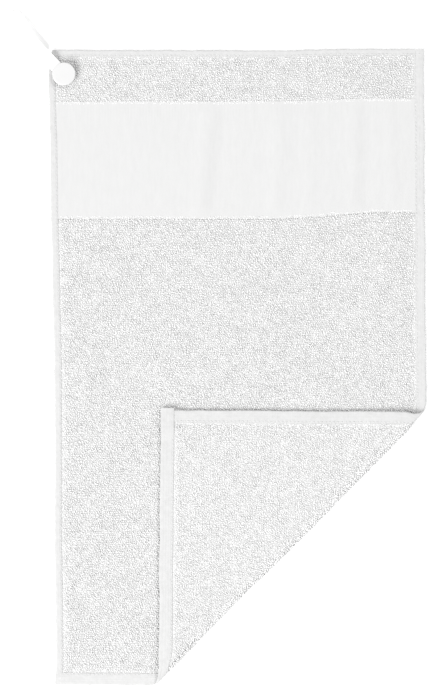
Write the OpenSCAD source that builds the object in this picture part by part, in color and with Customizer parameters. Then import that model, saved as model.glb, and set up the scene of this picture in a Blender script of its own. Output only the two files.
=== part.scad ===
// Golf towel: terry cloth with a flat woven border, one bottom corner turned
// over, and a moulded hook riveted through the top left corner.
// The towel lies flat on z = 0, face up, with its top hem towards +Y.
// The origin is the centre of the towel's underside.

/* [Cloth] */
// Width of the cloth, side hem to side hem
towel_w = 297; // [250:1:400]
// Length of the cloth, top hem to bottom hem
towel_l = 504; // [400:1:700]
// Thickness of the terry with its loops on both faces
terry_t = 3.6; // [3:0.1:5]
// Thickness of a turned and sewn hem
hem_t = 2.4; // [1.5:0.1:2.8]
// Thickness of the flat woven border
border_t = 1.2; // [0.6:0.1:1.6]

/* [Bands from the top edge down] */
// Width of the top hem
top_hem_w = 5.2; // [4:0.1:10]
// Length of the terry band between the top hem and the border
top_band_l = 37.3; // [34:0.1:60]
// Length of the flat woven border
border_l = 88; // [40:1:120]
// Width of the left hem
left_hem_w = 5.6; // [4:0.1:5.8]
// Width of the right hem
right_hem_w = 7.9; // [4:0.1:12]
// Width of the bottom hem
bottom_hem_w = 9.5; // [5:0.1:14]

/* [Turned corner] */
// Cloth turned over along each edge at the bottom right corner
fold_leg = 215.5; // [80:0.5:230]
// Air between the two layers of cloth
layer_gap = 0.3; // [0.2:0.05:0.6]
// How far the crease stands out past the fold line
crease_bulge = 1.2; // [0.8:0.1:2]

/* [Stitching] */
// Width of a row of stitches
stitch_w = 0.7; // [0.4:0.1:1.2]
// Height of the stitches above the hem
stitch_h = 0.3; // [0.2:0.05:0.4]
// Distance of the stitches from the hem's inner edge
stitch_inset = 1.1; // [0.8:0.1:1.5]

/* [Rivet] */
// Distance of the rivet from the left edge
rivet_from_left = 8.8; // [8.8:0.1:10.5]
// Distance of the rivet from the top edge
rivet_from_top = 19.5; // [19:0.1:20]
// Radius of the button on the front
button_r = 9.2; // [8.8:0.1:10]
// Height of the button
button_h = 2.2; // [1.8:0.1:3]
// Radius of the button's post
post_r = 2.5; // [2:0.1:2.8]
// Radius of the socket's disc behind the cloth
socket_r = 8; // [6:0.1:8]

/* [Hook] */
// Direction the hook points in, anticlockwise from +X
hook_angle = 131; // [110:1:170]
// Reach of the hook from the rivet to its tip
hook_reach = 67; // [60:0.5:75]
// Height of the hook's loop
loop_h = 15; // [13:0.5:16]
// Width of the moulded band
band_w = 8.2; // [7:0.1:9]
// Thickness of the moulded band
band_t = 2.9; // [2.4:0.1:3.2]
// Sideways offset of the arm from the hook's axis
arm_v = 1.6; // [1:0.1:2]
// Sideways offset of the tongue from the hook's axis
tongue_v = -2.7; // [-3:0.1:-2]
// Share of its width that the band loses at the tip
tip_taper = 0.28; // [0:0.02:0.3]

/* [Hidden] */
$fn = 96;

// Edges of the cloth and of its bands
left = -towel_w / 2;
right = towel_w / 2;
bottom = -towel_l / 2;
top = towel_l / 2;
band_top = top - top_hem_w;
border_top = band_top - top_band_l;
field_top = border_top - border_l;
field_bottom = bottom + bottom_hem_w;
face_z = (terry_t + hem_t) / 2;
back_z = (terry_t - hem_t) / 2;

// The fold runs at 45 degrees from the bottom edge to the right edge
fold_x = right - fold_leg;
fold_z = terry_t + layer_gap / 2;
fold_span = fold_leg * sqrt(2);
fold_top = 2 * fold_z;
far = 2 * towel_l;

// Rivet, with its socket pressed into the pile behind the cloth
rivet_x = left + rivet_from_left;
rivet_y = top - rivet_from_top;
eye_z = terry_t + 0.3;
eye_t = 2;
eye_r = 8.5;
button_z = eye_z + eye_t + 0.3;
button_edge_r = 0.8;
running_gap = 0.06;
socket_z = 0.2;
socket_t = 1.2;
collar_r = post_r + 1.1;
collar_top = terry_t - 0.2;
post_foot = socket_z + 0.6;
cloth_gap = 0.25;

// Hook, in its own frame: u along the hook, v across it, z up
bend_r = (loop_h - band_t) / 2;
loop_low = 0.25;
loop_mid = loop_low + loop_h / 2;
bend_u = hook_reach - loop_h / 2;
neck_start = 9.5;
root_v = 0.7;
root_w = band_w + 1.2;
neck_end = 34;
neck_steps = 6;
tongue_t = 2.6;
tongue_tip_u = 22.6;
tongue_tip_z = 6.8;
tongue_gap = 0.15;
tongue_run = bend_u - tongue_tip_u;
tongue_slope = atan((tongue_tip_z - loop_low - band_t / 2) / tongue_run);
bend_turn = 180 + tongue_slope;
bend_steps = 20;
slice_t = 0.05;
bend_end_u = bend_u + bend_r * sin(bend_turn);
bend_end_z = loop_mid + bend_r * cos(bend_turn);

// ---- Cloth ----

// A flat strip of cloth of thickness t, centred in the towel's thickness
module strip(x0, x1, y0, y1, t) {
    translate([x0, y0, (terry_t - t) / 2]) cube([x1 - x0, y1 - y0, t]);
}

// The side of the fold line that stays flat
module flat_side() {
    intersection() {
        children();
        translate([fold_x, bottom, -1]) rotate([0, 0, 45])
            translate([-far, 0, 0]) cube([2 * far, far, terry_t + 2]);
    }
}

// The side of the fold line that is turned over, cut and turned about the fold
module turned_side() {
    translate([fold_x, bottom, fold_z]) rotate([0, 0, 45]) rotate([180, 0, 0])
        rotate([0, 0, -45]) translate([-fold_x, -bottom, -fold_z])
            intersection() {
                children();
                translate([fold_x, bottom, -1]) rotate([0, 0, 45])
                    translate([-far, -far - layer_gap, 0]) cube([2 * far, far, terry_t + 2]);
            }
}

// Room in the cloth for the rivet's collar and its rear disc
module rivet_room() {
    translate([rivet_x, rivet_y, -1]) cylinder(r = collar_r + cloth_gap, h = terry_t + 2);
    translate([rivet_x, rivet_y, -1])
        cylinder(r = socket_r + cloth_gap, h = 1 + socket_z + socket_t + cloth_gap);
}

module terry_top_band() color("whitesmoke") difference() {
    strip(left + left_hem_w, right - right_hem_w, border_top, band_top, terry_t);
    rivet_room();
}

module woven_border() color("ghostwhite")
    strip(left + left_hem_w, right - right_hem_w, field_top, border_top, border_t);

module field_cloth()
    strip(left + left_hem_w, right - right_hem_w, field_bottom, field_top, terry_t);

module terry_field() color("whitesmoke") flat_side() field_cloth();

module corner_terry() color("whitesmoke") turned_side() field_cloth();

// ---- Hems ----

module side_hem_cloth() strip(right - right_hem_w, right, field_bottom, band_top, hem_t);

module bottom_hem_cloth() strip(left, right, bottom, field_bottom, hem_t);

module top_hem() color("white") strip(left, right, band_top, top, hem_t);

module left_hem() color("white") difference() {
    strip(left, left + left_hem_w, field_bottom, band_top, hem_t);
    rivet_room();
}

module right_hem() color("white") flat_side() side_hem_cloth();

module bottom_hem() color("white") flat_side() bottom_hem_cloth();

module corner_side_hem() color("white") turned_side() side_hem_cloth();

module corner_bottom_hem() color("white") turned_side() bottom_hem_cloth();

// ---- Stitching along the inner edge of each hem ----

// A row of stitches from (x0, y0) to (x1, y1) with its foot at z
module stitch_row(x0, x1, y0, y1, z) {
    translate([x0, y0, z]) cube([x1 - x0, y1 - y0, stitch_h]);
}

module side_row(z) {
    x = right - right_hem_w + stitch_inset;
    stitch_row(x, x + stitch_w, field_bottom, band_top, z);
}

module bottom_row(z) {
    y = field_bottom - stitch_inset - stitch_w;
    stitch_row(left, right, y, y + stitch_w, z);
}

module top_hem_stitching() color("gainsboro") {
    y = band_top + stitch_inset;
    stitch_row(left, right, y, y + stitch_w, face_z);
}

module left_hem_stitching() color("gainsboro") {
    x = left + left_hem_w - stitch_inset - stitch_w;
    stitch_row(x, x + stitch_w, field_bottom, band_top, face_z);
}

module right_hem_stitching() color("gainsboro") flat_side() side_row(face_z);

module bottom_hem_stitching() color("gainsboro") flat_side() bottom_row(face_z);

module corner_side_stitching() color("gainsboro") turned_side() side_row(back_z - stitch_h);

module corner_bottom_stitching() color("gainsboro") turned_side() bottom_row(back_z - stitch_h);

// ---- Crease where the cloth turns over ----

// Cross-section across the fold: upright, with rounded outer corners
module crease_outline() {
    translate([-crease_bulge, crease_bulge])
        square([crease_bulge, fold_top - 2 * crease_bulge]);
    for (z = [crease_bulge, fold_top - crease_bulge])
        intersection() {
            translate([0, z]) circle(r = crease_bulge);
            translate([-crease_bulge, z - crease_bulge]) square([crease_bulge, 2 * crease_bulge]);
        }
}

module fold_crease() color("whitesmoke")
    translate([fold_x, bottom, 0]) rotate([0, 0, 45]) rotate([90, 0, 90])
        linear_extrude(fold_span) crease_outline();

// ---- Rivet ----

module rivet_button() color("white") translate([rivet_x, rivet_y, 0]) {
    translate([0, 0, post_foot]) cylinder(r = post_r, h = button_z + 0.5 - post_foot);
    translate([0, 0, button_z]) cylinder(r = button_r - button_edge_r, h = button_h);
    translate([0, 0, button_z]) cylinder(r = button_r, h = button_h - button_edge_r);
    translate([0, 0, button_z + button_h - button_edge_r]) rotate_extrude()
        translate([button_r - button_edge_r, 0]) circle(r = button_edge_r);
}

module rivet_socket() color("white") translate([rivet_x, rivet_y, 0]) difference() {
    union() {
        translate([0, 0, socket_z]) cylinder(r = socket_r, h = socket_t);
        translate([0, 0, socket_z]) cylinder(r = collar_r, h = collar_top - socket_z);
    }
    translate([0, 0, post_foot - 0.1]) cylinder(r = post_r, h = collar_top);
}

// ---- Hook ----

module hook_frame() {
    translate([rivet_x, rivet_y, 0]) rotate([0, 0, hook_angle]) children();
}

function ease(s) = s * s * (3 - 2 * s);
function neck_u(s) = neck_start + (neck_end - neck_start) * s;
function neck_z(s) = eye_z + eye_t / 2 + (loop_mid + bend_r - eye_z - eye_t / 2) * ease(s);
function neck_pitch(s) = atan2(
    (loop_mid + bend_r - eye_z - eye_t / 2) * 6 * s * (1 - s), neck_end - neck_start);
function neck_v(s) = root_v + (arm_v - root_v) * ease(s);
function neck_w(s) = root_w + (band_w - root_w) * s;

// One thin cross-section of the band between the eye and the arm
module neck_slice(s) {
    translate([neck_u(s), neck_v(s), neck_z(s)]) rotate([0, -neck_pitch(s), 0])
        cube([slice_t, neck_w(s), eye_t + (band_t - eye_t) * s], center = true);
}

function tip_w(a) = band_w * (1 - tip_taper * sin(180 * a / bend_turn));

// One thin cross-section of the bend, a degrees round from the arm
module bend_slice(a) {
    translate([
        bend_u + bend_r * sin(a),
        arm_v + (tongue_v - arm_v) * ease(a / bend_turn),
        loop_mid + bend_r * cos(a)
    ]) rotate([0, a, 0]) cube([slice_t, tip_w(a), band_t], center = true);
}

module hook_arm() color("white") hook_frame() difference() {
    union() {
        translate([0, 0, eye_z]) cylinder(r = eye_r, h = eye_t);
        translate([0, root_v - root_w / 2, eye_z]) cube([neck_start, root_w, eye_t]);
        for (i = [0 : neck_steps - 1])
            hull() {
                neck_slice(i / neck_steps);
                neck_slice((i + 1) / neck_steps);
            }
        translate([neck_end, arm_v - band_w / 2, loop_mid + bend_r - band_t / 2])
            cube([bend_u - slice_t / 2 - neck_end, band_w, band_t]);
    }
    translate([0, 0, eye_z - 1]) cylinder(r = post_r + running_gap, h = eye_t + 2);
}

module hook_bend() color("white") hook_frame()
    for (i = [0 : bend_steps - 1])
        hull() {
            bend_slice(i * bend_turn / bend_steps);
            bend_slice((i + 1) * bend_turn / bend_steps);
        }

// The tongue slopes up from the bend to the underside of the neck
module hook_tongue() color("white") hook_frame()
    translate([bend_end_u, tongue_v, bend_end_z]) rotate([0, tongue_slope, 0]) {
        length = (bend_end_u - tongue_tip_u - band_w / 2) / cos(tongue_slope);
        translate([-length, -band_w / 2, -tongue_t / 2])
            cube([length - tongue_gap, band_w, tongue_t]);
        translate([-length, 0, -tongue_t / 2]) cylinder(r = band_w / 2, h = tongue_t);
    }

terry_top_band();
woven_border();
terry_field();
top_hem();
left_hem();
right_hem();
bottom_hem();
top_hem_stitching();
left_hem_stitching();
right_hem_stitching();
bottom_hem_stitching();
fold_crease();
corner_terry();
corner_side_hem();
corner_bottom_hem();
corner_side_stitching();
corner_bottom_stitching();
rivet_button();
rivet_socket();
hook_arm();
hook_bend();
hook_tongue();
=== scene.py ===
"""Golf towel: white terry cloth with one corner folded over, a woven border, sewn hems and a moulded hook."""

import math

import bmesh
import bpy
import numpy as np
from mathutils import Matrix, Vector


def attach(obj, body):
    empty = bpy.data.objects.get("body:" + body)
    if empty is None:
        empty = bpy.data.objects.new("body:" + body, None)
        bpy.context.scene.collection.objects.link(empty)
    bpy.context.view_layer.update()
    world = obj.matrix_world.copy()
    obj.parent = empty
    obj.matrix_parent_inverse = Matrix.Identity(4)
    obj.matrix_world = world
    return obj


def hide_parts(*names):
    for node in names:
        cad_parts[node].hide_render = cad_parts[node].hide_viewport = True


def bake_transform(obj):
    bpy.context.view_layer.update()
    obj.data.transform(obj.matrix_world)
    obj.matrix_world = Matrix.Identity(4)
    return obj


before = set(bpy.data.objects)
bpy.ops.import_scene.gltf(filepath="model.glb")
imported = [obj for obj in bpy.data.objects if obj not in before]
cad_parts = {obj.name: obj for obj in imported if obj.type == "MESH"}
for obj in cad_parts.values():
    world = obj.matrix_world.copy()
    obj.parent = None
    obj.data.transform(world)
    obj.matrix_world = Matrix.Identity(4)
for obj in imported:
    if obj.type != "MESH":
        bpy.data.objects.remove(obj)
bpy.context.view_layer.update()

# Every size below is in millimetres, and turned into metres where a mesh is made.
MM = 0.001
HALF_W, HALF_L = 148.5, 252.0
TOP_HEM, LEFT_HEM, RIGHT_HEM, BOTTOM_HEM = 5.2, 5.6, 7.9, 9.5
FIELD_TOP, BORDER_TOP = 121.5, 209.5
PILE_TOP = 3.6
RESTING = 0.02
GROUND_LOW, GROUND_HIGH = 1.3, 2.2
HEM_LOW, HEM_HIGH = 0.8, 2.8
FOLD_C, FOLD_Z = 185.0, 3.75
FOLD_REACH = 3.05
FOLD_EASE = 28
FOLD_T0 = 319
CORNER_FROM_X, CORNER_LEG = -67, 215.5
BEND_OUT = -1.9
ROOT2 = math.sqrt(2)
RIVET = (-139.7, 232.5)
HOOK_ANGLE = math.radians(131)
STITCH_PITCH = 3.2
X_LOW, X_HIGH = -HALF_W + LEFT_HEM, HALF_W - RIGHT_HEM
TOP_Y, LOW_Y = HALF_L - TOP_HEM, -HALF_L + BOTTOM_HEM
CORNER_R = 10


def smooth(t):
    """0 below 0, 1 above 1, and an S between them."""
    t = np.clip(t, 0, 1)
    return t * t * (3 - 2 * t)


def random_field(seed, size, waves=9):
    """A smooth random function of x and y, about -1 to 1, with features of that size."""
    rng = np.random.default_rng(seed)
    turn = rng.uniform(0, 2 * math.pi, waves)
    rate = 2 * math.pi / size * rng.uniform(0.5, 1.4, waves)
    phase = rng.uniform(0, 2 * math.pi, waves)

    def field(x, y):
        total = np.zeros(np.shape(x))
        for a, k, p in zip(turn, rate, phase):
            total = total + np.sin(k * (x * math.cos(a) + y * math.sin(a)) + p)
        return total / (1.5 * math.sqrt(waves / 2))

    return field


# ---------------------------------------------------------------- how the cloth lies

edge_wave = random_field(11, 70)


def lie(x, y):
    """Where a point of the flat cloth lies: it leans slightly, and the border rises to the right."""
    lean = 0.00895 - 0.0000112 * x
    rise = -1.4 + 5.2 * smooth((x - 20) / 100)
    height = np.interp(y, [-20, FIELD_TOP, BORDER_TOP, HALF_L], [0, 1, 0.46, 0.2])
    corner = 2.0 * np.clip((x - CORNER_FROM_X) / CORNER_LEG, 0, 1) * np.clip(-y / HALF_L, 0, 1)
    wave = 0.25 * edge_wave(x, y)
    left_edge = (
        1.0 * np.exp(-(((y - 215) / 50) ** 2))
        - 1.2 * np.exp(-(((y + 30) / 70) ** 2))
        + 1.6 * np.exp(-(((y + 256) / 16) ** 2))
        - 2.6 * smooth((y - 236) / 14)
    )
    sides = 0.9 * np.clip(x / HALF_W, 0, 1) + left_edge * np.clip(-x / HALF_W, 0, 1)
    return x - lean * y + wave - sides, y + rise * height + corner + 0.6 * wave


def crease_edge(t):
    """How far out the crease comes, past the fold line, at t along it."""
    return np.interp(
        t,
        [0, 40, 75, 105, 130, 180, 220, 260, 286, 294, 304, 320],
        [0.7, 0.1, -0.5, -0.8, 0.1, 0.2, -0.3, -0.5, -0.8, -1.9, -2.0, -1.6],
    )


def spread(flat_x, flat_y, x, y, turned):
    """On the turned corner the bottom hem stands further in and wider, and the side hem wider."""
    hem = smooth((flat_y + HALF_L) / BOTTOM_HEM)
    rise = (2.1 + 1.3 * hem) * np.exp(-np.maximum(flat_y - LOW_Y, 0) / 60)
    out = 1.8 * smooth((flat_x - X_HIGH) / RIGHT_HEM)
    part = smooth((x - y - FOLD_C) / ROOT2 / 12) * turned
    return x + out * part, y + rise * part


def settle(flat_x, flat_y, away, s, t, z, turned):
    """What the turned corner does beyond a plain fold: it swells where the thick side hem bends,
    its hems sink towards the cloth below, and the plan of that bend is rounded."""
    swell = np.exp(-(((t - 296) / 42) ** 2)) * np.exp(-(((s + 10) / 20) ** 2))
    hem = np.maximum(smooth((flat_x - X_HIGH + 5) / 7), smooth((LOW_Y + 5 - flat_y) / 7))
    sink = 0.7 * hem * smooth((away - 12) / 40) * turned
    z = z + 1.3 * swell * smooth((z - FOLD_Z) / 2.5) - sink
    x = (s * ROOT2 + FOLD_C + t * ROOT2 - FOLD_T0) / 2
    y = (t * ROOT2 - FOLD_T0 - s * ROOT2 - FOLD_C) / 2
    # the corner between the side and the crease, rounded to a radius
    a, b = CORNER_R - (HALF_W - x), CORNER_R - (BEND_OUT - s)
    along_x, along_s = 2 * (a - b / ROOT2), 2 * (b - a / ROOT2)
    wx, wy = along_x + along_s / ROOT2, -along_s / ROOT2
    reach = np.hypot(wx, wy)
    outside = (along_x > 0) & (along_s > 0) & (reach > CORNER_R)
    over = np.where(outside, 1 - CORNER_R / np.maximum(reach, 1), 0)
    return np.stack([x - wx * over, y - wy * over, z], -1)


def fold(points, round_crease=True, turned=None, tight=False):
    """Takes points of the flat cloth to where they lie with the corner folded over.
    A tight crease is a flattened one."""
    x, y = lie(points[..., 0], points[..., 1])
    if turned is None:
        turned = x - y > FOLD_C
    x, y = spread(points[..., 0], points[..., 1], x, y, turned)
    z = points[..., 2]
    s = (x - y - FOLD_C) / ROOT2
    t = (x + y + FOLD_T0) / ROOT2
    edge = crease_edge(t)
    crease_width = 3.2
    pull = edge - crease_width + FOLD_REACH
    away = np.where(turned, s, -s)
    near = smooth((FOLD_EASE - away) / (FOLD_EASE - FOLD_REACH))
    out_s = -away + pull * near
    out_z = np.where(turned, 2 * FOLD_Z - z, z)
    out_t = t - pull * near * np.where(turned, -1, 1) * smooth(away / 6)
    if round_crease:
        inside = away < FOLD_REACH
        phi = math.pi * (np.clip(s, -FOLD_REACH, FOLD_REACH) + FOLD_REACH) / (2 * FOLD_REACH)
        radius = FOLD_Z - z
        bend_s = edge - crease_width + radius * crease_width / FOLD_Z * np.sin(phi)
        cosine = np.cos(phi)
        if tight:
            cosine = np.where(turned, -1, 1) * np.maximum(np.abs(cosine) ** 0.25, 0.7)
        out_s = np.where(inside, bend_s, out_s)
        out_z = np.where(inside, FOLD_Z - radius * cosine, out_z)
    return settle(points[..., 0], points[..., 1], away, out_s, out_t, out_z, turned)


# ---------------------------------------------------------------- meshes


def mesh_piece(name, points, faces, material, sharp=None):
    """A mesh object from points in millimetres and a list of face arrays, each of one size of face."""
    points = np.asarray(points, float).reshape(-1, 3) * MM
    faces = [np.asarray(f, np.int64) for f in faces if len(f)]
    mesh = bpy.data.meshes.new(name)
    corners = np.concatenate([f.ravel() for f in faces])
    totals = np.concatenate([np.full(len(f), f.shape[1]) for f in faces])
    starts = np.concatenate([[0], np.cumsum(totals)[:-1]])
    mesh.vertices.add(len(points))
    mesh.vertices.foreach_set("co", points.ravel())
    mesh.loops.add(len(corners))
    mesh.loops.foreach_set("vertex_index", corners)
    mesh.polygons.add(len(totals))
    mesh.polygons.foreach_set("loop_start", starts)
    mesh.polygons.foreach_set("loop_total", totals)
    mesh.polygons.foreach_set("use_smooth", np.ones(len(totals), bool))
    mesh.update(calc_edges=True)
    mesh.validate()
    if sharp is not None:
        mesh.set_sharp_from_angle(angle=math.radians(sharp))
    mesh.materials.append(material)
    piece = bpy.data.objects.new(name, mesh)
    bpy.context.scene.collection.objects.link(piece)
    return piece


def tube_faces(count, rings, sides, closed=False):
    """Faces of count tubes, each of that many rings and sides, with a cap on both ends."""
    first = np.arange(count)[:, None] * rings * sides
    k = np.arange(rings if closed else rings - 1)[:, None] * sides
    a = np.arange(sides)[None, :]
    b = (a + 1) % sides
    nxt = (k + sides) % (rings * sides)
    quads = np.stack([k + a, k + b, nxt + b, nxt + a], -1).reshape(-1, 4)
    quads = (first[:, :, None] + quads[None]).reshape(-1, 4)
    if closed:
        return [quads]
    start = (first + np.arange(sides)[::-1][None, :]).reshape(-1, sides)
    end = (first + (rings - 1) * sides + np.arange(sides)[None, :]).reshape(-1, sides)
    return [quads, start, end]


def unit(v):
    """The same directions, each of length 1."""
    return v / np.maximum(np.linalg.norm(v, axis=-1, keepdims=True), 1e-9)


# ---------------------------------------------------------------- materials


def new_material(name, colour, roughness, **sockets):
    """A Principled material. Returns it, its node tree and its shader node."""
    material = bpy.data.materials.new(name)
    material.use_nodes = True
    tree = material.node_tree
    shader = tree.nodes["Principled BSDF"]
    shader.inputs["Base Color"].default_value = (*colour, 1)
    shader.inputs["Roughness"].default_value = roughness
    for socket, value in sockets.items():
        shader.inputs[socket.replace("_", " ")].default_value = value
    return material, tree, shader


def link(tree, a, b):
    """Joins an output socket to an input socket."""
    tree.links.new(a, b)


def coordinates(tree, scale=(1, 1, 1), turn=0.0):
    """Object coordinates, stretched and turned."""
    source = tree.nodes.new("ShaderNodeTexCoord")
    mapping = tree.nodes.new("ShaderNodeMapping")
    mapping.inputs["Scale"].default_value = scale
    mapping.inputs["Rotation"].default_value = (0, 0, turn)
    link(tree, source.outputs["Object"], mapping.inputs["Vector"])
    return mapping.outputs["Vector"]


def noise(tree, vector, scale, detail=2.0, roughness=0.5):
    """A noise texture, 0 to 1."""
    node = tree.nodes.new("ShaderNodeTexNoise")
    node.inputs["Scale"].default_value = scale
    node.inputs["Detail"].default_value = detail
    node.inputs["Roughness"].default_value = roughness
    link(tree, vector, node.inputs["Vector"])
    return node.outputs["Fac"]


def wave(tree, vector, scale, distortion=0.0, direction="X"):
    """Parallel bands, 0 to 1."""
    node = tree.nodes.new("ShaderNodeTexWave")
    node.bands_direction = direction
    node.inputs["Scale"].default_value = scale
    node.inputs["Distortion"].default_value = distortion
    node.inputs["Detail"].default_value = 1.0
    link(tree, vector, node.inputs["Vector"])
    return node.outputs["Fac"]


def maths(tree, operation, a, b):
    """One sum on two values, each a number or a socket."""
    node = tree.nodes.new("ShaderNodeMath")
    node.operation = operation
    for socket, value in zip(node.inputs, (a, b)):
        if isinstance(value, (int, float)):
            socket.default_value = value
        else:
            link(tree, value, socket)
    return node.outputs["Value"]


def tint(tree, shader, factor, dark, light, low=0.3, high=0.7):
    """Base colour from dark to light as the factor goes from low to high."""
    ramp = tree.nodes.new("ShaderNodeValToRGB")
    ramp.color_ramp.elements[0].position = low
    ramp.color_ramp.elements[0].color = (*dark, 1)
    ramp.color_ramp.elements[1].position = high
    ramp.color_ramp.elements[1].color = (*light, 1)
    link(tree, factor, ramp.inputs["Fac"])
    link(tree, ramp.outputs["Color"], shader.inputs["Base Color"])


def bump(tree, shader, height, strength, distance):
    """Fine relief too small to be modelled."""
    node = tree.nodes.new("ShaderNodeBump")
    node.inputs["Strength"].default_value = strength
    node.inputs["Distance"].default_value = distance
    link(tree, height, node.inputs["Height"])
    link(tree, node.outputs["Normal"], shader.inputs["Normal"])


def grey(value):
    """A nearly neutral colour of that level."""
    return (value, value, value * 0.998)


def terry_material():
    """Cotton loops: soft, matt and a little uneven, with the twist of the yarn in the bump."""
    material, tree, shader = new_material(
        "terry_loops", grey(0.9), 0.95, Sheen_Weight=0.08, Sheen_Roughness=0.5, Specular_IOR_Level=0.15
    )
    where = coordinates(tree)
    fine = noise(tree, where, 760, 1)
    tint(tree, shader, fine, grey(0.70), grey(0.93), 0.36, 0.62)
    twist = wave(tree, coordinates(tree, turn=0.7), 900, 3.0)
    bump(tree, shader, maths(tree, "ADD", twist, fine), 0.35, 0.00012)
    return material


def ground_gap_shade_material():
    """The weave that the loops stand on, coloured far darker than the loops: painted shade for the deep gaps
    between them.
    """
    # painted shade: grey 0.54 (0.50 to 0.58 in the tint below), against about 0.9 for the loops of the same
    # cotton, stands for the shade deep between the loops
    material, tree, shader = new_material("terry_ground_gap_shade", grey(0.54), 0.95, Specular_IOR_Level=0.15)
    weft = wave(tree, coordinates(tree), 360, 0.6, "Y")
    warp = wave(tree, coordinates(tree), 300, 0.6, "X")
    both = maths(tree, "MULTIPLY", weft, warp)
    tint(tree, shader, noise(tree, coordinates(tree), 140, 3), grey(0.50), grey(0.58))
    bump(tree, shader, both, 0.5, 0.0002)
    return material


def woven_material(name, dark, light, rib, cross, streak):
    """A flat weave of fine ribs, crossed by a finer one, with threads a little lighter and darker."""
    material, tree, shader = new_material(
        name, grey(light), 0.85, Sheen_Weight=0.15, Sheen_Roughness=0.4, Specular_IOR_Level=0.25
    )
    ribs = wave(tree, coordinates(tree), rib, 0.8, "X")
    across = wave(tree, coordinates(tree), cross, 0.8, "Y")
    threads = noise(tree, coordinates(tree, streak), 60, 3, 0.65)
    tint(tree, shader, threads, grey(dark), grey(light), 0.3, 0.7)
    height = maths(tree, "ADD", maths(tree, "MULTIPLY", ribs, across), maths(tree, "MULTIPLY", threads, 0.8))
    bump(tree, shader, height, 0.4, 0.00012)
    return material


def thread_material():
    """Sewing thread, with its twist."""
    material, tree, shader = new_material("hem_thread", grey(0.60), 0.6, Sheen_Weight=0.2)
    twist = wave(tree, coordinates(tree, turn=0.6), 620, 0.5)
    tint(tree, shader, twist, grey(0.56), grey(0.63), 0.1, 0.9)
    bump(tree, shader, twist, 0.4, 0.0001)
    return material


def plastic_material(name, level, roughness):
    """Moulded plastic: satin, with a faint grain from the mould and slow changes of gloss."""
    material, tree, shader = new_material(
        name, grey(level), roughness, IOR=1.49, Coat_Weight=0.08, Coat_Roughness=0.25
    )
    where = coordinates(tree)
    tint(tree, shader, noise(tree, where, 45, 3), grey(level - 0.012), grey(level + 0.008))
    slow = noise(tree, where, 120, 2)
    gloss = tree.nodes.new("ShaderNodeMapRange")
    gloss.inputs["To Min"].default_value = roughness - 0.04
    gloss.inputs["To Max"].default_value = roughness + 0.06
    link(tree, slow, gloss.inputs["Value"])
    link(tree, gloss.outputs["Result"], shader.inputs["Roughness"])
    bump(tree, shader, noise(tree, where, 1400, 2), 0.12, 0.00006)
    return material


TERRY = terry_material()
# the ground weave's dark colour is painted shade for the gaps between the loops
GROUND_GAP_SHADE = ground_gap_shade_material()
BORDER = woven_material("border_weave", 0.550, 0.570, 260, 420, (5, 1.2, 1))
HEM = woven_material("hem_weave", 0.515, 0.562, 240, 380, (4, 4, 1))
THREAD = thread_material()
HOOK_PLASTIC = plastic_material("hook_moulding", 0.83, 0.36)
RIVET_PLASTIC = plastic_material("rivet_moulding", 0.61, 0.32)

# ---------------------------------------------------------------- the cloth itself

CELL = 4
xs = np.arange(-66 - 20 * CELL, 147, CELL, dtype=float)
ys = np.arange(-251, 250, CELL, dtype=float)
COLS, ROWS = len(xs), len(ys)
CHAIN = 20


def ground_sheet():
    """The ground cloth as one closed sheet: two faces, joined round the edge and round the crease."""
    col, row = np.meshgrid(np.arange(COLS), np.arange(ROWS), indexing="ij")
    side = (col - CHAIN) - row
    points, index = [], {}
    for face, z in (("high", GROUND_HIGH), ("low", GROUND_LOW)):
        for part, keep in (("towel", side <= 0), ("corner", side >= 0)):
            flat = np.stack([xs[col], ys[row], np.full(col.shape, z)], -1)
            placed = fold_as(flat, part, face)
            number = np.full(col.shape, -1)
            number[keep] = np.arange(keep.sum()) + sum(len(p) for p in points)
            points.append(placed[keep])
            index[face, part] = number
    quads, tris = [], []

    def cell(face, part, i, j, flip):
        n = index[face, part]
        a, b, c, d = n[i, j], n[i + 1, j], n[i + 1, j + 1], n[i, j + 1]
        return (a, d, c, b) if flip else (a, b, c, d)

    for face, flip in (("high", False), ("low", True)):
        for i in range(COLS - 1):
            for j in range(ROWS - 1):
                k = (i - CHAIN) - j
                if k < 0:
                    quads.append(cell(face, "towel", i, j, flip))
                elif k > 0:
                    quads.append(cell(face, "corner", i, j, flip))
                else:
                    n, m = index[face, "towel"], index[face, "corner"]
                    lower = (n[i, j], n[i + 1, j + 1], n[i, j + 1])
                    upper = (m[i, j], m[i + 1, j], m[i + 1, j + 1])
                    tris += [lower[::-1], upper[::-1]] if flip else [lower, upper]
    chain = [(CHAIN + k, k) for k in range(COLS - CHAIN)]
    for face, flip in (("high", False), ("low", True)):
        n, m = index[face, "towel"], index[face, "corner"]
        for a, b in zip(chain[:-1], chain[1:]):
            quad = (n[b], n[a], m[a], m[b])
            quads.append(quad[::-1] if flip else quad)
    for end in (chain[0], chain[-1]):
        quads.append(
            (index["high", "towel"][end], index["high", "corner"][end],
             index["low", "corner"][end], index["low", "towel"][end])
        )
    rim = [(i, 0) for i in range(COLS)] + [(COLS - 1, j) for j in range(1, ROWS)]
    rim += [(i, ROWS - 1) for i in range(COLS - 2, -1, -1)] + [(0, j) for j in range(ROWS - 2, -1, -1)]
    for a, b in zip(rim[:-1], rim[1:]):
        part = "corner" if (a[0] - CHAIN) - a[1] + (b[0] - CHAIN) - b[1] > 0 else "towel"
        high, low = index["high", part], index["low", part]
        quads.append((high[a], low[a], low[b], high[b]))
    # the ground sheet takes the material whose dark colour is painted shade for the gaps between the loops
    piece = mesh_piece("towel_cloth", np.concatenate(points), [quads, tris], GROUND_GAP_SHADE)
    work = bmesh.new()
    work.from_mesh(piece.data)
    bmesh.ops.recalc_face_normals(work, faces=work.faces)
    work.to_mesh(piece.data)
    work.free()
    return piece


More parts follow.
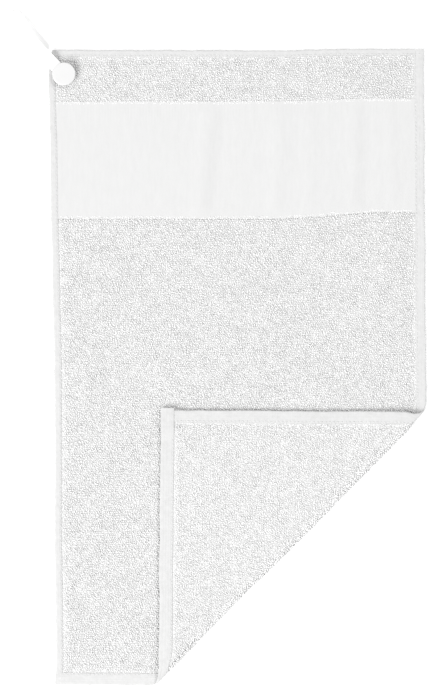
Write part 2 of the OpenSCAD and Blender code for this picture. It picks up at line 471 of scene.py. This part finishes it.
def fold_as(flat, part, face):
    """fold() for the ground cloth: it stays flat up to a bracket inside the crease."""
    x, y = lie(flat[..., 0], flat[..., 1])
    x, y = spread(flat[..., 0], flat[..., 1], x, y, part == "corner")
    s = (x - y - FOLD_C) / ROOT2
    t = (x + y + FOLD_T0) / ROOT2
    # the mesh is drawn on to the fold line, so that its chain of points lies along it
    middle = (flat[..., 0] + flat[..., 1]) / 2
    chain_x, chain_y = lie(middle + FOLD_C / 2, middle - FOLD_C / 2)
    flat_s = np.abs(flat[..., 0] - flat[..., 1] - FOLD_C) / ROOT2
    s = s - (chain_x - chain_y - FOLD_C) / ROOT2 * (1 - smooth(flat_s / 30))
    edge = crease_edge(t)
    pull = edge - 0.15
    away = np.abs(s)
    near = smooth((FOLD_EASE - away) / (FOLD_EASE - FOLD_REACH))
    limit = edge - (1.9 if face == "high" else 1.3)
    out_s = np.minimum(-away + pull * near, limit)
    rim = (away < 2.4) & (face == "low")
    under_border = (flat[..., 1] > FIELD_TOP - 3) & (flat[..., 1] < BORDER_TOP + 3)
    z = np.where(rim, GROUND_LOW + 0.7, flat[..., 2])
    z = np.where(under_border, 1.25 if face == "low" else 1.6, z)
    out_z = z if part == "towel" else 2 * FOLD_Z - z
    out_t = t - pull * near * (-1 if part == "corner" else 1) * smooth(away / 6)
    return settle(flat[..., 0], flat[..., 1], away, out_s, out_t, out_z, part == "corner")


cloth = ground_sheet()
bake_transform(cloth)
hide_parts("terry_top_band", "terry_field", "corner_terry", "fold_crease")

# ---------------------------------------------------------------- pile

comb = random_field(21, 34)
comb_fine = random_field(22, 9)
nap = random_field(23, 26)


def loop_points(seed, low, high, clear=0.85, pitch=(1.66, 1.48)):
    """Places for loops over a rectangle of the flat cloth: rows, well jittered."""
    rng = np.random.default_rng(seed)
    nx = max(1, int(round((high[0] - low[0]) / pitch[0])))
    ny = max(1, int(round((high[1] - low[1]) / pitch[1])))
    i, j = np.meshgrid(np.arange(nx), np.arange(ny), indexing="ij")
    x = low[0] + (i + 0.5 + 0.5 * (j % 2) - 0.25) * (high[0] - low[0]) / nx
    y = low[1] + (j + 0.5) * (high[1] - low[1]) / ny
    x = x + rng.uniform(-0.3, 0.3, x.shape) * pitch[0]
    y = y + rng.uniform(-0.3, 0.3, y.shape) * pitch[1]
    keep = (x > low[0] - 0.3) & (x < high[0] + 0.3) & (y > low[1] - 0.3) & (y < high[1] + 0.3)
    x, y = x[keep], y[keep]
    x = np.clip(x, X_LOW + clear, X_HIGH - clear)
    y = np.clip(y, LOW_Y + clear, TOP_Y - clear)
    y = np.where(y < FIELD_TOP + 1, np.minimum(y, FIELD_TOP - 0.5), np.maximum(y, BORDER_TOP + 0.5))
    return x, y, rng


def loop_tubes(x, y, rng, up, coarse=1.0):
    """Loops of yarn in the flat cloth: an array of loops, rings, sides and coordinates."""
    n = len(x)
    angle = 0.4 * comb(x, y) + 0.3 * comb_fine(x, y) + rng.normal(0, 1.5, n)
    reach = rng.uniform(0.40, 0.72, n) * coarse
    yarn = rng.uniform(0.30, 0.38, n) * coarse
    crest = PILE_TOP - 0.02 * (1 + nap(x, y)) - rng.uniform(0, 0.75, n)
    # the pile is crushed beside a hem and beside the border
    beside = np.minimum.reduce([x - X_LOW, X_HIGH - x, y - LOW_Y, TOP_Y - y])
    border = np.minimum(np.abs(y - FIELD_TOP), np.abs(y - BORDER_TOP))
    crest = crest - 0.7 * np.exp(-((beside / 1.7) ** 2)) - 0.5 * np.exp(-((border / 2.4) ** 2))
    lean = rng.normal(0, 0.26, n) + 0.04 * comb_fine(y, x)
    along = np.stack([np.cos(angle), np.sin(angle), np.zeros(n)], -1)[:, None, :]
    side = np.stack([-np.sin(angle), np.cos(angle), np.zeros(n)], -1)[:, None, :]
    z_up = np.array([0.0, 0.0, 1.0])
    turn = np.linspace(0, math.pi, 5)[None, :, None]
    foot = 1.9
    height = (crest - yarn - foot)[:, None, None]
    reach, yarn, lean = reach[:, None, None], yarn[:, None, None], lean[:, None, None]
    middle = (
        along * reach * np.cos(turn)
        + z_up * height * np.sin(turn)
        + side * lean * np.sin(turn)
    )
    tangent = unit(
        -along * reach * np.sin(turn) + z_up * height * np.cos(turn) + side * lean * np.cos(turn)
    )
    first = unit(side - tangent * (tangent * side).sum(-1, keepdims=True))
    second = np.cross(tangent, first)
    ring = np.linspace(0, 2 * math.pi, 5)[:-1]
    fat = yarn * (1 + 0.18 * np.sin(turn))
    tube = middle[:, :, None, :] + fat[..., None] * (
        np.cos(ring)[None, None, :, None] * first[:, :, None, :]
        + np.sin(ring)[None, None, :, None] * second[:, :, None, :]
    )
    tube[..., 0] += x[:, None, None]
    tube[..., 1] += y[:, None, None]
    tube[..., 2] += foot
    if not up:
        tube[..., 2] = PILE_TOP - tube[..., 2]
        tube = tube[:, :, ::-1, :]
    return tube


def pile_piece(name, tubes, body):
    """Loops as one piece that rides a body; none, if there are no loops."""
    if not len(tubes):
        return
    count, rings, sides, _ = tubes.shape
    piece = mesh_piece(name, tubes, tube_faces(count, rings, sides), TERRY)
    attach(piece, body)


def fold_distance(x, y):
    """How far points of the flat cloth lie past the fold line, and how far along it."""
    x, y = lie(x, y)
    return (x - y - FOLD_C) / ROOT2, (x + y + FOLD_T0) / ROOT2


FIELD_BANDS = 10
levels = np.linspace(FIELD_TOP, LOW_Y, FIELD_BANDS + 1)
BANDS = [("top_band", BORDER_TOP, TOP_Y)]
BANDS += [(f"field_{k + 1}", levels[k + 1], levels[k]) for k in range(FIELD_BANDS)]
for number, (name, low, high) in enumerate(BANDS):
    x, y, rng = loop_points(100 + number, (X_LOW, low), (X_HIGH, high), clear=0.35)
    s, t = fold_distance(x, y)
    tubes = loop_tubes(x, y, rng, up=True)
    room = crease_edge(t) < -1.5
    towel_side = (s < -0.9) & ~((s > -3.5) & room)
    corner_side = (s > 0.9) & ~((s < 3.5) & room)
    # a loop stays on its own side of the fold line as it is carried over
    turned = np.broadcast_to((s > 0)[:, None, None], tubes.shape[:3])
    placed = fold(tubes, round_crease=False, turned=turned)
    pile_piece("pile_" + name, placed[towel_side], "towel")
    pile_piece("corner_inside_" + name, placed[corner_side], "turned_corner")

for number, (name, low, high) in enumerate(BANDS[5:]):
    x, y, rng = loop_points(200 + number, (X_LOW, low), (X_HIGH, high))
    # the bend opens the pile, so it gets loops for the gaps
    more_x, more_y, _ = loop_points(300 + number, (X_LOW, low), (X_HIGH, high))
    bent = np.abs(fold_distance(more_x, more_y)[0]) < 6
    x, y = np.append(x, more_x[bent]), np.append(y, more_y[bent])
    s, t = fold_distance(x, y)
    tubes = loop_tubes(x, y, rng, up=False)
    # the loops stand out more where the cloth turns over
    tubes[..., 2] -= (rng.uniform(-0.1, 0.8, len(x)) * np.exp(-((s / 3) ** 2)))[:, None, None]
    placed = fold(tubes)
    pile_piece("corner_back_" + name, placed[s > 0], "turned_corner")
    placed[..., 2] = np.maximum(placed[..., 2], RESTING)
    pile_piece("crease_" + name, placed[(s > -7) & (s <= 0)], "towel")

# the underside that the towel lies on has fewer and larger loops, to save faces
for number, (name, low, high) in enumerate(BANDS):
    x, y, rng = loop_points(400 + number, (X_LOW, low), (X_HIGH, high), pitch=(1.9, 1.75))
    s = fold_distance(x, y)[0]
    placed = fold(loop_tubes(x, y, rng, up=False, coarse=1.3), round_crease=False)
    placed[..., 2] = np.maximum(placed[..., 2], RESTING)
    clear_of_socket = np.hypot(x - RIVET[0], y - RIVET[1]) > 9.5
    pile_piece("underside_" + name, placed[(s < -7) & clear_of_socket], "towel")

# ---------------------------------------------------------------- woven border


def border_piece():
    """The flat woven band: a thin closed slab with faint creases that run up it."""
    gx = np.linspace(-HALF_W + LEFT_HEM - 1.0, HALF_W - RIGHT_HEM + 1.0, 190)
    gy = np.linspace(FIELD_TOP - 2.2, BORDER_TOP + 2.2, 62)
    x, y = np.meshgrid(gx, gy, indexing="ij")
    ripple = random_field(31, 60)(x, y * 0.4)
    rise = 0.12 * ripple
    for at, slope, width, depth in (
        (-27, 0.10, 7.5, 0.85), (-15, 0.12, 7.0, -0.6), (31, 0.04, 7.0, 0.7), (57, 0.03, 6.5, 0.35),
        (93, 0.02, 6.5, 0.6), (102, 0.03, 6.5, -0.45), (122, -0.02, 5.0, 0.45),
    ):
        rise = rise + depth * np.exp(-(((x - at - slope * (y - 165)) / width) ** 2))
    ends = smooth((y - gy[0]) / 12) * smooth((gy[-1] - y) / 12)
    top = 2.45 + rise * (0.35 + 0.65 * ends)
    low = np.full(x.shape, 1.15)
    n, m = x.shape
    upper = fold(np.stack([x, y, top], -1), round_crease=False)
    lower = fold(np.stack([x, y, low], -1), round_crease=False)
    number = np.arange(n * m).reshape(n, m)
    a, b, c, d = number[:-1, :-1], number[1:, :-1], number[1:, 1:], number[:-1, 1:]
    quads = np.stack([a, b, c, d], -1).reshape(-1, 4)
    under = (np.stack([a, d, c, b], -1) + n * m).reshape(-1, 4)
    rim = np.concatenate([number[:, 0], number[-1, 1:], number[-2::-1, -1], number[0, -2::-1]])
    wall = np.stack([rim[:-1], rim[:-1] + n * m, rim[1:] + n * m, rim[1:]], -1)
    return mesh_piece(
        "border_band", np.concatenate([upper.reshape(-1, 3), lower.reshape(-1, 3)]), [quads, under, wall],
        BORDER, sharp=50,
    )


border = border_piece()
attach(border, "towel")
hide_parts("woven_border")

# ---------------------------------------------------------------- hems


def hem_piece(name, start, end, outward, width, grow=0.0, seed=0, lap=0.0):
    """A rolled hem along an edge of the flat cloth: a rounded strip with ribs, drawn in along its stitches."""
    start, end, outward = np.array(start, float), np.array(end, float), np.array(outward, float)
    length = np.linalg.norm(end - start)
    forward = (end - start) / length
    along = np.linspace(0, length, int(length / 0.8) + 1)
    at_fold = np.abs(fold_distance(*(start[:, None] + forward[:, None] * along))[0]) < 12
    if at_fold.any():
        low, high = along[at_fold][0], along[at_fold][-1]
        bend = np.linspace(low, high, int((high - low) / 0.3) + 1)
        along = np.concatenate([along[along < low], bend, along[along > high]])
    half = (HEM_HIGH - HEM_LOW) / 2 + grow
    across = np.concatenate([
        [0.0, 0.12, 0.35, 0.7, 0.95, 1.1, 1.25, 1.5],
        np.linspace(1.9, width - 1.3, max(4, int((width - 3.2) / 0.45))),
        width - 1.1 + 1.1 * np.sin(np.linspace(0.15, 1, 6) * math.pi / 2),
    ])
    thick = np.ones(len(across))
    thick = thick * np.sqrt(np.clip(1 - (np.clip(across - (width - 1.1), 0, 1.1) / 1.1) ** 2, 0, 1))
    thick = thick * (1 - 0.45 * np.clip(1 - across / 0.7, 0, 1) ** 2)
    ribs = 0.055 * np.cos(2 * math.pi * across / 1.85) * smooth((across - 1.4) / 0.6)
    ribs = ribs * smooth((width - 0.6 - across) / 0.8)
    grid_a, grid_w = np.meshgrid(along, across, indexing="ij")
    pucker = 0.5 + 0.5 * np.cos(2 * math.pi * grid_a / STITCH_PITCH)
    seam = np.exp(-(((grid_w - 1.1) / 0.42) ** 2)) * (0.16 + 0.14 * pucker)
    rough = (
        0.05 * random_field(40 + seed, 5)(grid_a, grid_w * 2)
        + 0.05 * random_field(50 + seed, 22)(grid_a, grid_w)
    )
    sides = []
    for sign in (1, -1):
        surface = half * thick[None, :] + ribs[None, :] - seam + rough * thick[None, :]
        z = (HEM_HIGH + HEM_LOW) / 2 + sign * surface
        waver = (
            0.14 * random_field(60 + seed, 14)(grid_a, 0 * grid_a)
            + 0.16 * random_field(70 + seed, 45)(grid_a, 0 * grid_a)
        )
        shift = grid_w + waver * np.where(grid_w > width / 2, 1, 0.4)
        flat = start[None, None] + forward * grid_a[..., None] + outward * shift[..., None]
        z = z - lap * smooth((grid_a - length + 24) / 16)
        sides.append(np.concatenate([flat, z[..., None]], -1))
    ring = np.concatenate([sides[0], sides[1][:, ::-1][:, 1:-1]], 1)
    turn = np.cross(np.append(forward, 0), np.append(outward, 0))[2]
    if turn > 0:
        ring = ring[:, ::-1]
    placed = fold(ring, tight=True)
    piece = mesh_piece(name, placed, tube_faces(1, ring.shape[0], ring.shape[1]), HEM, sharp=70)
    return piece


def stitch_row(name, start, end, outward, body, keep, nodes):
    """Single stitches along a hem, on both faces of the cloth, as short rounded threads."""
    start, end, outward = np.array(start, float), np.array(end, float), np.array(outward, float)
    length = np.linalg.norm(end - start)
    forward = (end - start) / length
    count = int(length / STITCH_PITCH)
    at = (np.arange(count) + 0.5) * STITCH_PITCH
    rng = np.random.default_rng(int(length) + len(name))
    tubes = []
    for face in (1, -1):
        centre = start + forward * at[:, None] + outward * (1.1 + rng.normal(0, 0.05, count))[:, None]
        skew = rng.normal(0.06, 0.03, count)
        u = np.linspace(-1, 1, 7)
        run = 1.36 * np.sign(u) * np.abs(u) ** 0.9
        radius = 0.33 * np.sqrt(np.clip(1 - np.abs(u) ** 4, 0.02, 1))
        dip = 0.30 * np.abs(u) ** 3
        around = np.linspace(0, 2 * math.pi, 7)[:-1]
        cross_xy = radius[:, None] * np.cos(around)
        cross_z = radius[:, None] * np.sin(around)
        x = (
            centre[:, None, None, :]
            + forward * run[None, :, None, None]
            + outward * (cross_xy[None, :, :, None] + (skew[:, None] * u)[:, :, None, None])
        )
        base = HEM_HIGH - 0.16 if face > 0 else HEM_LOW + 0.16
        z = base + face * (0.12 - dip[None, :, None]) + cross_z[None] + 0 * x[..., 0]
        tube = np.concatenate([x, z[..., None]], -1)
        tubes.append(tube)
    tubes = np.concatenate(tubes)
    turn = np.cross(np.append(forward, 0), np.append(outward, 0))[2]
    if turn < 0:
        tubes = tubes[:, :, ::-1]
    middle = tubes.mean(axis=(1, 2))
    s = fold_distance(middle[:, 0], middle[:, 1])[0]
    chosen = tubes[keep(s)]
    placed = fold(chosen)
    piece = mesh_piece(name, placed, tube_faces(len(placed), placed.shape[1], placed.shape[2]), THREAD)
    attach(piece, body)
    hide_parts(*nodes)
    return piece


def everywhere(s):
    """Keeps every stitch."""
    return np.ones(len(s), bool)


top_line = ((-HALF_W + 0.4, TOP_Y), (HALF_W - 0.4, TOP_Y), (0, 1))
left_line = ((X_LOW, -HALF_L + 0.4), (X_LOW, HALF_L - 0.1), (-1, 0))
right_line = ((X_HIGH, -HALF_L + 0.5), (X_HIGH, HALF_L - 0.1), (1, 0))
bottom_line = ((-HALF_W + 0.1, LOW_Y), (HALF_W + 1.6, LOW_Y), (0, -1))

hems = []
for name, line, width, grow, nodes, blended in (
    ("top_hem_roll", top_line, TOP_HEM, -0.05, ("top_hem",), False),
    ("left_hem_roll", left_line, LEFT_HEM, 0.0, ("left_hem",), False),
    ("right_hem_roll", right_line, RIGHT_HEM, 0.0, ("right_hem", "corner_side_hem"), True),
    ("bottom_hem_roll", bottom_line, BOTTOM_HEM, 0.1, ("bottom_hem", "corner_bottom_hem"), True),
):
    lap = 0.5 if "bottom" in name else 0.0
    piece = hem_piece(name, *line, width, grow, seed=len(hems), lap=lap)
    if blended:
        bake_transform(piece)
    else:
        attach(piece, "towel")
    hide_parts(*nodes)
    hems.append(piece)

stitches = [
    stitch_row("top_stitches", *top_line, "towel", everywhere, ("top_hem_stitching",)),
    stitch_row("left_stitches", *left_line, "towel", everywhere, ("left_hem_stitching",)),
    stitch_row("right_stitches", *right_line, "towel", lambda s: s < -2.5, ("right_hem_stitching",)),
    stitch_row("bottom_stitches", *bottom_line, "towel", lambda s: s < -2.5, ("bottom_hem_stitching",)),
    stitch_row("corner_side_stitches", *right_line, "turned_corner", lambda s: s > 2.5,
               ("corner_side_stitching",)),
    stitch_row("corner_bottom_stitches", *bottom_line, "turned_corner", lambda s: s > 2.5,
               ("corner_bottom_stitching",)),
]

# ---------------------------------------------------------------- rivet


def lathe(name, profile, material, segments=72, sharp=35):
    """A line of (radius, height) points that starts and ends on the axis, turned about the rivet."""
    profile = np.array(profile, float)
    turn = np.linspace(0, 2 * math.pi, segments + 1)[:-1]
    points = np.stack([
        RIVET[0] + profile[:, 0][:, None] * np.cos(turn),
        RIVET[1] + profile[:, 0][:, None] * np.sin(turn),
        profile[:, 1][:, None] + 0 * turn,
    ], -1)
    return mesh_piece(name, points, tube_faces(1, len(profile), segments), material, sharp)


def arc(cx, cz, r, a, b, n=7):
    """Points round part of a circle, from a to b degrees."""
    turn = np.radians(np.linspace(a, b, n))
    return [(cx + r * math.cos(k), cz + r * math.sin(k)) for k in turn]


BUTTON_LOW, BUTTON_HIGH, POST_R = 6.2, 8.4, 2.5
button = lathe(
    "rivet_cap",
    [(0.02, 0.8), (2.3, 0.8), (POST_R, 1.0), (POST_R, BUTTON_LOW - 0.3), (2.8, BUTTON_LOW)]
    + arc(8.95, BUTTON_LOW + 0.25, 0.25, -90, 0, 4)
    + arc(8.4, BUTTON_HIGH - 0.86, 0.8, 0, 82, 9)
    + [(7.2, BUTTON_HIGH - 0.02), (4.5, BUTTON_HIGH + 0.02)]
    + [(2.0, BUTTON_HIGH + 0.04), (0.02, BUTTON_HIGH + 0.04)],
    RIVET_PLASTIC,
)
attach(button, "towel")
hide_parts("rivet_button")
socket = lathe(
    "rivet_back",
    [(0.02, 0.55), (1.6, 0.55), (2.0, 0.22), (6.6, 0.2)]
    + arc(7.6, 0.6, 0.4, -90, 0, 5)
    + arc(7.6, 1.0, 0.4, 0, 90, 5)
    + [(4.1, 1.4)] + arc(4.1, 1.9, 0.5, -90, -180, 4)
    + [(3.6, 3.1)] + arc(3.3, 3.1, 0.3, 0, 90, 4) + [(2.65, 3.4), (2.65, 1.2), (0.02, 1.2)],
    RIVET_PLASTIC,
)
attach(socket, "towel")
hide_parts("rivet_socket")

# ---------------------------------------------------------------- hook

EYE_Z, EYE_T, EYE_R = 3.9, 2.0, 8.5
LOOP_MID, BEND_R, BAND_T, BAND_W = 7.75, 6.05, 2.9, 8.2
LOOP_LOW = 0.25
BEND_U = 59.5
NECK_START, NECK_END = 9.5, 34.0
ARM_V, TONGUE_V, ROOT_V, ROOT_W = 1.6, -2.7, 0.7, 9.4
TONGUE_T, TONGUE_TIP_U, TONGUE_TIP_Z = 2.6, 22.6, 6.8
SPLIT_U = 36.0
TIP_TAPER = 0.28
arm_z = LOOP_MID + BEND_R
tongue_slope = math.atan2(TONGUE_TIP_Z - LOOP_LOW - BAND_T / 2, BEND_U - TONGUE_TIP_U)
bend_turn = math.pi + tongue_slope


def band_ring(width, thick, radius=0.75):
    """A rounded rectangle, as (across, up) points."""
    radius = min(radius, width / 2 - 0.01, thick / 2 - 0.01)
    ring = []
    for k, (sx, sz) in enumerate(((1, 1), (-1, 1), (-1, -1), (1, -1))):
        for a in np.linspace(0, math.pi / 2, 6):
            turn = a + k * math.pi / 2
            ring.append((sx * (width / 2 - radius) + radius * math.cos(turn),
                         sz * (thick / 2 - radius) + radius * math.sin(turn)))
    return np.array(ring)


def hook_place(u, v, z):
    """Points of the hook's own frame, put where the hook lies."""
    c, s = math.cos(HOOK_ANGLE), math.sin(HOOK_ANGLE)
    return np.stack([RIVET[0] + u * c - v * s, RIVET[1] + u * s + v * c, z + 0 * u], -1)


def band(stations):
    """Rings of a flat band along (u, v, z, width, thickness) stations."""
    stations = np.array(stations, float)
    tangent = unit(np.gradient(stations[:, [0, 2]], axis=0))
    rings = []
    for (u, v, z, width, thick), (tu, tz) in zip(stations, tangent):
        ring = band_ring(width, thick)
        rings.append(hook_place(u - tz * ring[:, 1], v + ring[:, 0], z + tu * ring[:, 1]))
    return np.array(rings)


def hook_body():
    """The eye round the rivet, the neck that rises from it and the first part of the arm."""
    eye = np.array(
        [(2.8, EYE_Z + 0.15), (2.95, EYE_Z)]
        + arc(EYE_R - 0.6, EYE_Z + 0.6, 0.6, -90, 0, 6)
        + arc(EYE_R - 0.6, EYE_Z + EYE_T - 0.6, 0.6, 0, 90, 6)
        + [(2.95, EYE_Z + EYE_T), (2.8, EYE_Z + EYE_T - 0.15)]
    )
    segments = 72
    turn = np.linspace(0, 2 * math.pi, segments + 1)[:-1]
    eye_points = np.stack([
        RIVET[0] + eye[:, 0][:, None] * np.cos(turn),
        RIVET[1] + eye[:, 0][:, None] * np.sin(turn),
        eye[:, 1][:, None] + 0 * turn,
    ], -1).reshape(-1, 3)
    eye_faces = tube_faces(1, len(eye), segments, closed=True)
    root_z = EYE_Z + EYE_T / 2
    stations = [(3.4, ROOT_V, root_z, ROOT_W, EYE_T - 0.04)]
    for u in np.linspace(4.5, NECK_START - 0.6, 5):
        stations.append((u, ROOT_V, root_z, ROOT_W, EYE_T - 0.04))
    for s in np.linspace(0, 1, 26):
        e = float(smooth(s))
        stations.append((
            NECK_START + (NECK_END - NECK_START) * s, ROOT_V + (ARM_V - ROOT_V) * e,
            root_z + (arm_z - root_z) * e, ROOT_W + (BAND_W - ROOT_W) * s, EYE_T + (BAND_T - EYE_T) * s,
        ))
    stations += [(34.7, ARM_V, arm_z, BAND_W, BAND_T), (SPLIT_U, ARM_V, arm_z, BAND_W, BAND_T)]
    rings = band(stations)
    offset = len(eye_points)
    faces = [f + offset for f in tube_faces(1, rings.shape[0], rings.shape[1])]
    points = np.concatenate([eye_points, rings.reshape(-1, 3)])
    return mesh_piece("hook_body", points, eye_faces + faces, HOOK_PLASTIC, 38)


def hook_spring():
    """The rest of the arm, the bend at the tip and the sprung tongue, in one length of band."""
    stations = [(u, ARM_V, arm_z, BAND_W, BAND_T) for u in np.linspace(SPLIT_U, BEND_U - 1.2, 14)]
    for a in np.linspace(0, bend_turn, 40):
        stations.append((
            BEND_U + BEND_R * math.sin(a), ARM_V + (TONGUE_V - ARM_V) * float(smooth(a / bend_turn)),
            LOOP_MID + BEND_R * math.cos(a), BAND_W * (1 - TIP_TAPER * math.sin(math.pi * a / bend_turn)),
            BAND_T + (TONGUE_T - BAND_T) * a / bend_turn,
        ))
    u0, z0 = stations[-1][0], stations[-1][2]
    length = (u0 - TONGUE_TIP_U) / math.cos(tongue_slope)
    half = BAND_W / 2
    runs = list(np.linspace(0, length - half, 16))[1:]
    runs += [length - half * (1 - math.sin(a)) for a in np.linspace(0, math.pi / 2, 12)[1:]]
    for run in runs:
        left = max(0.0, run - (length - half))
        width = 2 * math.sqrt(max(half * half - left * left, 0.03))
        stations.append((
            u0 - run * math.cos(tongue_slope), TONGUE_V, z0 + run * math.sin(tongue_slope), width, TONGUE_T,
        ))
    rings = band(stations)
    return mesh_piece("hook_spring", rings, tube_faces(1, rings.shape[0], rings.shape[1]), HOOK_PLASTIC, 38)


body = hook_body()
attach(body, "hook")
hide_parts("hook_arm")
spring = hook_spring()
# the bend takes up the flex between the arm and a line that lies along the top of the tongue
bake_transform(spring)
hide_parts("hook_bend", "hook_tongue")

# ---------------------------------------------------------------- floor, light and camera


def floor():
    """Plain pale paper, with a little emission so that it comes out pure white."""
    mesh = bpy.data.meshes.new("studio_floor")
    r, z = 4.0, -0.0001
    mesh.from_pydata([(-r, -r, z), (r, -r, z), (r, r, z), (-r, r, z)], [], [(0, 1, 2, 3)])
    material, tree, shader = new_material(
        "floor_paper", (0.95, 0.95, 0.95), 0.9, Specular_IOR_Level=0.0, Emission_Strength=0.05
    )
    tint(tree, shader, noise(tree, coordinates(tree), 6, 2), (0.94, 0.94, 0.94), (0.96, 0.96, 0.96))
    mesh.materials.append(material)
    piece = bpy.data.objects.new("studio_floor", mesh)
    bpy.context.scene.collection.objects.link(piece)


def area_light(name, place, size, power):
    """A round softbox that faces the middle of the towel."""
    data = bpy.data.lights.new(name, "AREA")
    data.shape = "DISK"
    data.size = size
    data.energy = power
    lamp = bpy.data.objects.new(name, data)
    lamp.location = place
    lamp.rotation_euler = (-Vector(place)).to_track_quat("-Z", "Y").to_euler()
    bpy.context.scene.collection.objects.link(lamp)


floor()
area_light("key_softbox", (-1.9, -1.5, 2.2), 1.9, 108)
area_light("fill_softbox", (1.7, 1.3, 2.5), 1.8, 48)
world = bpy.data.worlds.new("studio")
world.use_nodes = True
world.node_tree.nodes["Background"].inputs["Color"].default_value = (1, 1, 1, 1)
world.node_tree.nodes["Background"].inputs["Strength"].default_value = 0.66
scene = bpy.context.scene
scene.world = world
scene.view_settings.view_transform = "Standard"

camera_data = bpy.data.cameras.new("camera")
camera_data.lens = 163.6
camera_data.sensor_width = 36
camera = bpy.data.objects.new("camera", camera_data)
camera.location = (-0.0179, 0.0165, 2.503)
scene.collection.objects.link(camera)
scene.camera = camera
